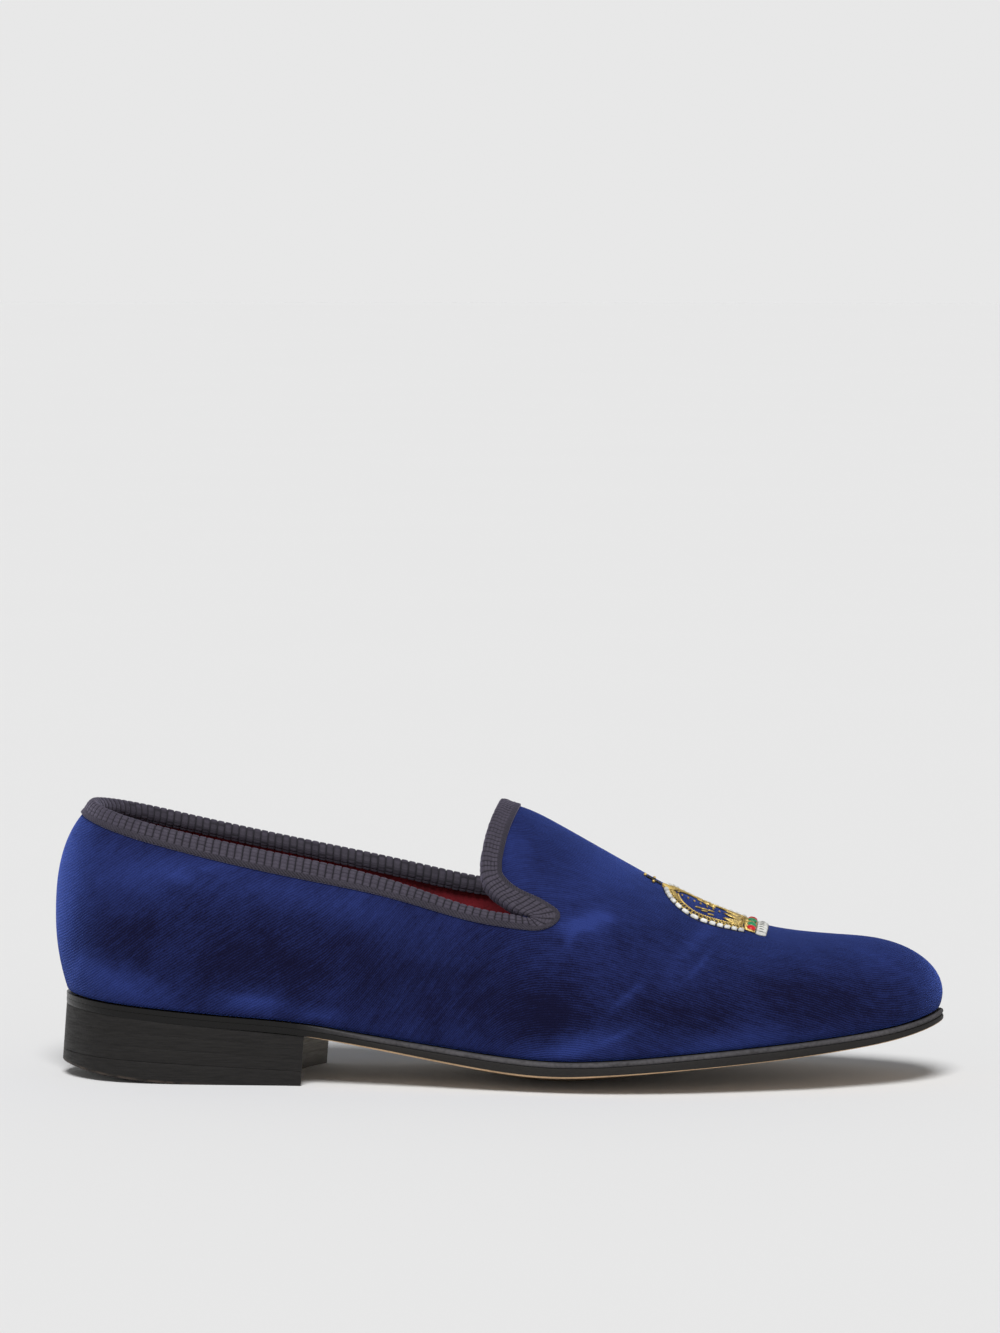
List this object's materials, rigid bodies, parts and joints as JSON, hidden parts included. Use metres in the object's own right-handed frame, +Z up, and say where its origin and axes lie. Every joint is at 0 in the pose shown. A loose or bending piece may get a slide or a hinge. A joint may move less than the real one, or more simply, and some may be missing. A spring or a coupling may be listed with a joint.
{
  "type": "velvet slipper loafer",
  "caption": "Low velvet slipper loafer for the right foot with a ribbed ribbon round its opening, an embroidered crown on the vamp, a welted leather sole and a stacked heel.",
  "frame": {"origin": "middle of the heel's flat tread, on the floor", "axes": "+X along the shoe to the toe, +Y to the medial side, +Z up from the floor"},
  "size_m": [0.3022, 0.0995, 0.0938],
  "materials": {
    "velvet": "royal blue cotton velvet, short pile",
    "ribbon": "dark aubergine grey ribbed ribbon",
    "gold_thread": "gold bullion embroidery, satin",
    "lining": "smooth deep red leather",
    "edge_leather": "black inked and burnished leather edge",
    "sole_leather": "natural tan sole leather with an inked edge",
    "top_piece": "dark top piece"
  },
  "bodies": {
    "root": {"upper": "velvet", "topline_binding": "ribbon", "vamp_crown": "gold_thread", "insole": "lining", "welt": "edge_leather", "outsole": "sole_leather", "heel_lift_1": "edge_leather", "heel_lift_2": "edge_leather", "heel_lift_3": "edge_leather", "heel_top_piece": "top_piece"}
  },
  "joints": []
}
